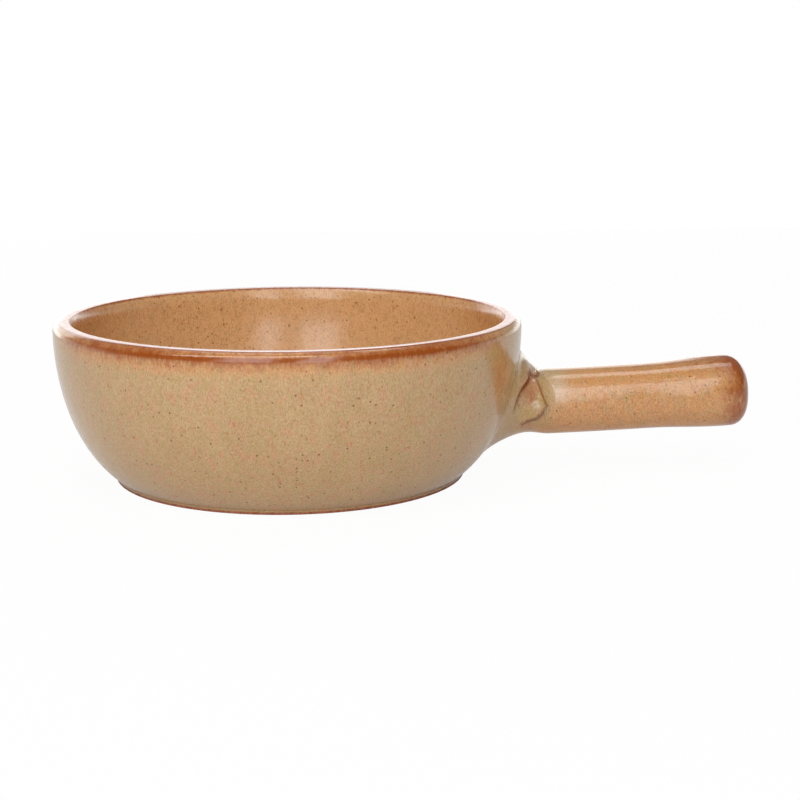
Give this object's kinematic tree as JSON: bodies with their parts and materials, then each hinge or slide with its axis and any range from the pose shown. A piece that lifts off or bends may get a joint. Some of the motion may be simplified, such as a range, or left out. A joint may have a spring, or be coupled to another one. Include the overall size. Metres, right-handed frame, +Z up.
{
  "type": "fondue pot",
  "caption": "Round stoneware fondue pot with a curved wall, a rounded lip, a flat unglazed base and one solid handle luted to its side.",
  "frame": {"origin": "on the bowl's axis, at the middle of the flat base that the pot stands on", "axes": "+Z up along the bowl's axis, +X along the handle away from the bowl, -Y the front shown in the picture"},
  "size_m": [0.3316, 0.22, 0.0756],
  "materials": {
    "bowl_glaze": "gloss",
    "handle_glaze": "gloss",
    "joint_glaze": "gloss",
    "bare_clay": "matte"
  },
  "bodies": {
    "root": {"bowl": "bowl_glaze", "handle": "handle_glaze", "luting_roll": "joint_glaze", "slip_bed": "bare_clay"}
  },
  "joints": []
}
